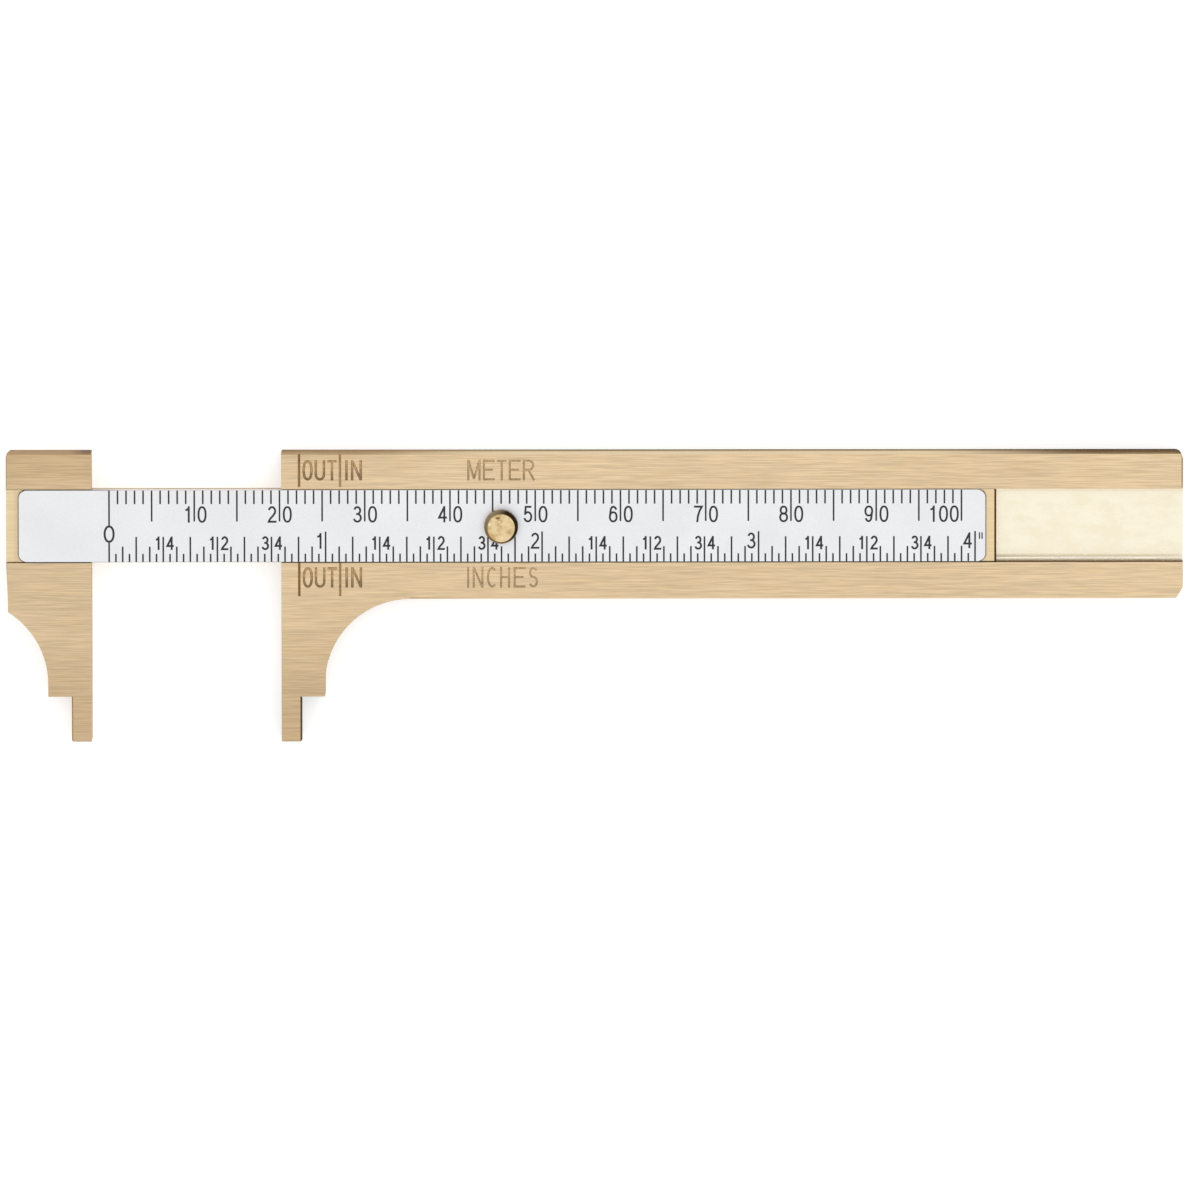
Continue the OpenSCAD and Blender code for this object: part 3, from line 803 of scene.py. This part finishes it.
def draw_metric(layers):
    section = ink_section(NUMERAL_STROKE)
    for tens in range(10, METRIC_MAX, 10):
        x = ZERO_X + tens
        left = x - (NARROW_GAP if tens == 10 else METRIC_GAPS[0])
        write(layers, str(tens)[0], left, METRIC_Y, METRIC_H, NUMERAL_STROKE, section, to_left=True)
        write(layers, "0", x + METRIC_GAPS[1], METRIC_Y, METRIC_H, NUMERAL_STROKE, section)
    x = ZERO_X + METRIC_MAX - HUNDRED_GAP
    write(layers, "00", x, METRIC_Y, METRIC_H, NUMERAL_STROKE, section, to_left=True)
    write(layers, "1", x - HUNDRED_ONE, METRIC_Y, METRIC_H, NUMERAL_STROKE, section, to_left=True)
    middle = ZERO_TOP - ZERO_H / 2
    rx, ry = (ZERO_W - ZERO_STROKE) / 2, (ZERO_H - ZERO_STROKE) / 2
    sweep(layers[0], oval(ZERO_X, middle, rx, ry, 2.1), ink_section(ZERO_STROKE))


def draw_inches(layers):
    section = ink_section(NUMERAL_STROKE)
    quarters = (("1", "4"), ("1", "2"), ("3", "4"))
    for whole, gap in WHOLE_GAPS.items():
        for part, pair in enumerate(quarters, 1):
            x = ZERO_X + (whole - 1 + part / 4) * INCH
            size = (QUARTER_Y, QUARTER_H, NUMERAL_STROKE, section)
            write(layers, pair[0], x - QUARTER_GAPS[0][pair[0]], *size, to_left=True)
            write(layers, pair[1], x + QUARTER_GAPS[1][pair[1]], *size)
        x = ZERO_X + whole * INCH
        write(layers, str(whole), x - gap, WHOLE_Y, WHOLE_H, NUMERAL_STROKE, section, to_left=True)
    x = ZERO_X + INCH_MAX * INCH + INCH_MARK_GAP
    write(layers, '"', x, WHOLE_Y, WHOLE_H, INCH_MARK_STROKE, ink_section(INCH_MARK_STROKE))


def make_button():
    """A turned button: a crowned and dented face, a rounded rim, and a shank through plate and bar."""
    x = (BUTTON_LOW.x + BUTTON_HIGH.x) / 2
    radius = BUTTON_HIGH.y
    top, foot, seat = BUTTON_HIGH.z, BUTTON_LOW.z, PLATE_HIGH.z
    shank, chamfer = 0.85, 0.05
    rim, rise, lean, dent = 0.5, 0.03, 0.25, 0.012
    sides, rim_rings, crown_rings = 72, 6, 9
    profile = [(shank, foot), (shank, seat), (radius - chamfer, seat), (radius, seat + chamfer)]
    profile += [(radius - rim + rim * math.cos(a), top - rise - rim + rim * math.sin(a))
                for a in (math.radians(90 * i / rim_rings) for i in range(rim_rings))]
    flat = radius - rim
    crown = [flat * (1 - i / crown_rings) for i in range(crown_rings)]
    profile += [(r, top - rise * (r / flat) ** 2) for r in crown]
    bm = bmesh.new()
    rings = []
    for r, z in profile:
        off = lean * max(0.0, min(1.0, (radius - r) / rim)) if z > seat + 2 * chamfer else 0.0
        turns = [2 * math.pi * i / sides for i in range(sides)]
        rings.append([bm.verts.new((x + r * math.cos(a), r * math.sin(a) - off, z)) for a in turns])
    for one, two in zip(rings, rings[1:]):
        for i in range(sides):
            bm.faces.new((one[i], one[(i + 1) % sides], two[(i + 1) % sides], two[i]))
    bm.faces.new(rings[0][::-1])
    centre = bm.verts.new((x, -lean, top))
    for i in range(sides):
        bm.faces.new((rings[-1][i], rings[-1][(i + 1) % sides], centre))
    for vert in bm.verts:
        reach = math.hypot(vert.co.x - x, vert.co.y + lean)
        if vert.co.z > top - 2 * chamfer and reach < flat:
            ripple = noise.noise(vert.co * 1.7) + 0.5 * noise.noise(vert.co * 4.1)
            vert.co.z -= dent * (1 + ripple) * (1 - (reach / flat) ** 4)
    button = to_object("thumb_button_finish", bm, button_brass())
    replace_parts(finish(button, "slide", 40), "thumb_button")


def dress_nodes():
    """Materials of the nodes that keep their own mesh."""
    looks = {
        "plate_adhesive": matte_film(),
        "jaw_rivets": satin_metal("rivet_brass", (0.72, 0.52, 0.27), 0.35, 0.08),
        "stop_pin": satin_metal("pin_steel", (0.56, 0.56, 0.58), 0.3, 0.06),
        "drag_spring": satin_metal("spring_bronze", (0.62, 0.38, 0.2), 0.32, 0.08, 0.2),
    }
    looks["spring_rivet"] = looks["jaw_rivets"]
    for node, material in looks.items():
        for slot in NODES[node].material_slots:
            slot.material = material


def make_floor():
    bm = bmesh.new()
    bmesh.ops.create_grid(bm, x_segments=8, y_segments=8, size=FLOOR_HALF)
    floor = to_object("floor", bm, floor_white())
    floor.data.transform(Matrix.Scale(MM, 4))
    floor.location.z = -FLOOR_DROP * MM


def make_light():
    """A white room, a big softbox straight above, and a faint lamp that gives the shadows a side."""
    world = bpy.data.worlds.new("studio")
    bpy.context.scene.world = world
    world.use_nodes = True
    nodes, links = world.node_tree.nodes, world.node_tree.links
    background = nodes["Background"]
    background.inputs["Color"].default_value = (1, 1, 1, 1)
    rays = nodes.new("ShaderNodeLightPath")
    level = nodes.new("ShaderNodeMapRange")
    level.inputs["To Min"].default_value = 0.75
    level.inputs["To Max"].default_value = 1.0
    links.new(rays.outputs["Is Camera Ray"], level.inputs["Value"])
    links.new(level.outputs["Result"], background.inputs["Strength"])
    lamps = (("softbox", (0, 0, 2900), 3800, 11.3), ("key", (600, 600, 1500), 900, 1.6))
    for name, spot, size, power in lamps:
        lamp = bpy.data.lights.new(name, "AREA")
        lamp.size = size * MM
        lamp.energy = power
        piece = bpy.data.objects.new(name, lamp)
        piece.location = Vector(spot) * MM
        piece.rotation_euler = (-piece.location).to_track_quat("-Z", "Y").to_euler()
        bpy.context.scene.collection.objects.link(piece)


def make_camera():
    data = bpy.data.cameras.new("camera")
    data.sensor_width = SENSOR
    data.lens = SENSOR * DISTANCE / FRAME_WIDTH
    data.clip_start = 0.05
    data.clip_end = 50
    camera = bpy.data.objects.new("camera", data)
    away = Matrix.Rotation(ROLL, 3, "Z") @ Vector((0, math.sin(LEAN), math.cos(LEAN)))
    camera.location = (Vector(AIM) + away * DISTANCE) * MM
    camera.rotation_euler = (-LEAN, 0, ROLL)
    bpy.context.scene.collection.objects.link(camera)
    bpy.context.scene.camera = camera


def main():
    scene = bpy.context.scene
    scene.view_settings.view_transform = "Standard"
    ink = printing_ink()
    make_camera()
    make_light()
    make_floor()
    make_beam()
    make_jaw()
    make_bar()
    make_plate(plate_face())
    dress_nodes()
    make_lines(ink)
    finish(lettering("metric_numerals", ink, draw_metric), "slide")
    finish(lettering("inch_numerals", ink, draw_inches), "slide")
    make_button()
    bpy.context.view_layer.update()


main()
